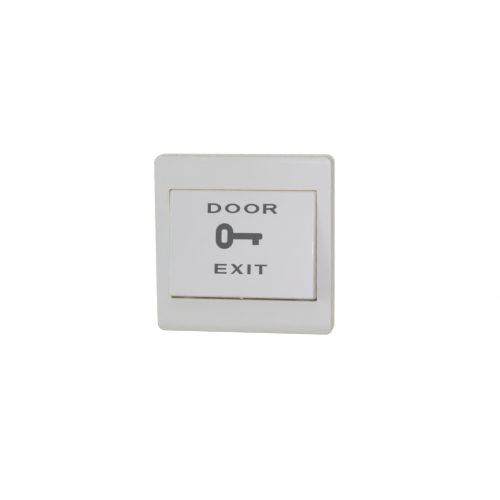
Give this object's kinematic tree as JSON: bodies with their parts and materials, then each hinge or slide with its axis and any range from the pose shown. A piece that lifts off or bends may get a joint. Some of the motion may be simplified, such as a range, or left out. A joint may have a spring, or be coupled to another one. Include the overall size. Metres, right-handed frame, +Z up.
{
  "type": "door exit button",
  "caption": "Square wall-mounted door exit button: a wide wedge-shaped panel hinged at its top edge in a face plate, spring-returned, with a screw-terminal contact block behind.",
  "frame": {"origin": "on the wall's surface, midway between the two fixing slots", "axes": "+X to the right and +Z up seen from the front, +Y into the wall, front faces -Y"},
  "size_m": [0.086, 0.0358, 0.086],
  "materials": {
    "plate_plastic": "moulded white plastic, soft gloss",
    "button_plastic": "moulded white plastic, fine satin gloss",
    "frame_plastic": "moulded cream plastic, matt",
    "housing_plastic": "moulded light grey plastic, matt",
    "plunger_plastic": "moulded natural plastic, smooth",
    "spring_steel": "drawn spring wire",
    "screw_steel": "zinc plated steel",
    "contact_brass": "rolled brass strip",
    "contact_silver": "silver contact rivets",
    "print_ink": "dark grey pad print"
  },
  "bodies": {
    "base": {"face_plate": "plate_plastic", "base_frame": "frame_plastic", "switch_housing": "housing_plastic", "switch_cover": "housing_plastic", "plunger_spring": "spring_steel", "return_spring_left": "spring_steel", "return_spring_right": "spring_steel", "fixed_tip_left": "contact_silver", "fixed_tip_right": "contact_silver", "fixed_contact_left": "contact_brass", "fixed_contact_right": "contact_brass", "terminal_clamp_left": "contact_brass", "terminal_clamp_right": "contact_brass", "terminal_screw_left": "screw_steel", "terminal_screw_right": "screw_steel", "housing_screws": "screw_steel", "cover_screws": "screw_steel"},
    "button": {"push_button": "button_plastic"},
    "plunger": {"contact_plunger": "plunger_plastic", "contact_bridge": "contact_brass", "bridge_tip_left": "contact_silver", "bridge_tip_right": "contact_silver"}
  },
  "joints": [
    {"name": "button_hinge", "type": "hinge", "parent": "base", "child": "button", "pos_m": [0, -0.005, 0.0212], "axis": [1, 0, 0], "range_deg": [0, 4], "stiffness_Nm_per_rad": 2.7, "springref_deg": -3.09, "deforming": ["return_spring_left", "return_spring_right"]},
    {"name": "plunger_slide", "type": "slide", "parent": "base", "child": "plunger", "axis": [0, 1, 0], "range_m": [0, 0.0025], "deforming": ["plunger_spring"]}
  ],
  "couplings": [
    {"joint": "plunger_slide", "follows": "button_hinge", "m_per_rad": 0.0356}
  ]
}
